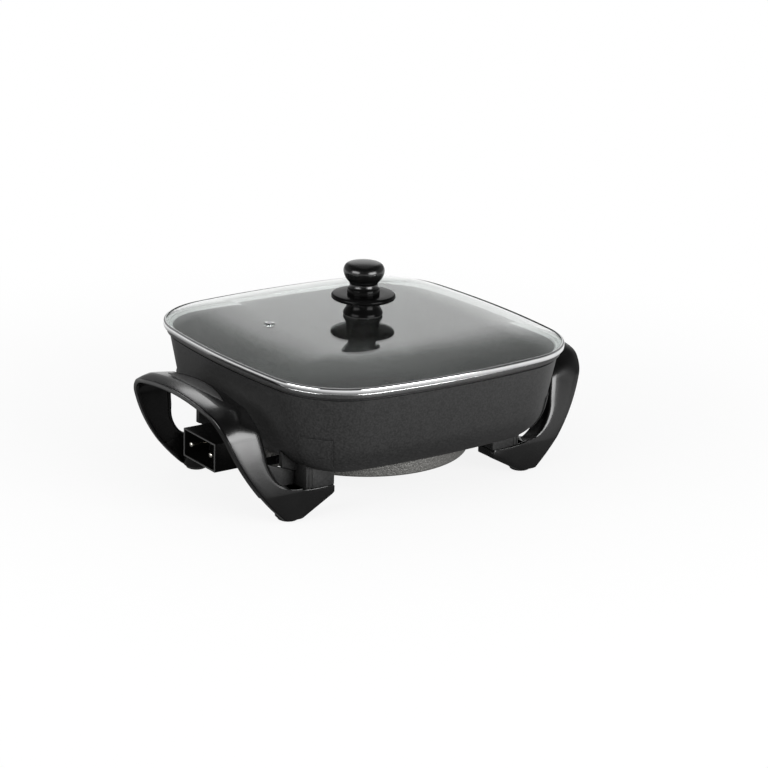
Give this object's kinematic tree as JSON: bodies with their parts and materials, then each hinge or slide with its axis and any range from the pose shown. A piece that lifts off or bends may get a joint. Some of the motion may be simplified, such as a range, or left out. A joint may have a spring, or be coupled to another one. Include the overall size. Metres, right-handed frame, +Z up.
{
  "type": "electric skillet",
  "caption": "Square electric skillet: cast pan with a ring heater, arched handles that are also its legs, a pin inlet for a heat control, and a lift-off domed glass lid with steel rim and knob.",
  "frame": {"origin": "on the table, under the middle of the pan", "axes": "+Z up, +X from the inlet's handle to the other handle, +Y to the rear"},
  "size_m": [0.384, 0.3, 0.1893],
  "materials": {
    "pan_coating": "matte dark grey non-stick coating on a casting",
    "heater_casting": "sand-cast, dark",
    "element_sheath": "heat-tinted tube",
    "terminal": "nickel plated",
    "ceramic": "unglazed ceramic",
    "sheet_steel": "zinc plated",
    "shroud_plastic": "black moulding",
    "phenolic": "polished black moulding",
    "inlay": "fine textured dark grey",
    "rubber": "matte black",
    "glass": "clear tempered",
    "stainless": "polished",
    "fastener": "zinc plated",
    "brass": "machined"
  },
  "bodies": {
    "base": {"pan_body": "pan_coating", "heater_plate": "heater_casting", "heating_element": "element_sheath", "terminal_pin_front": "terminal", "terminal_pin_rear": "terminal", "pin_insulator_front": "ceramic", "pin_insulator_rear": "ceramic", "probe_tube": "sheet_steel", "inlet_bracket": "sheet_steel", "inlet_shroud": "shroud_plastic", "bracket_screws": "fastener", "shroud_screws": "fastener", "handle_left": "phenolic", "handle_right": "phenolic", "handle_screws_left": "fastener", "handle_screws_right": "fastener", "grip_inlay_left": "inlay", "grip_inlay_right": "inlay", "foot_pad_front_left": "rubber", "foot_pad_rear_left": "rubber", "foot_pad_front_right": "rubber", "foot_pad_rear_right": "rubber"},
    "lid": {"lid_glass": "glass", "lid_rim": "stainless", "vent_eyelet": "stainless", "knob": "phenolic", "knob_guard": "phenolic", "knob_foot": "phenolic", "knob_gasket": "rubber", "knob_washer": "fastener", "knob_screw": "fastener", "knob_insert": "brass"}
  },
  "joints": [
    {"name": "lid_lift", "type": "slide", "parent": "base", "child": "lid", "axis": [0, 0, 1], "range_m": [0, 0.2]}
  ]
}
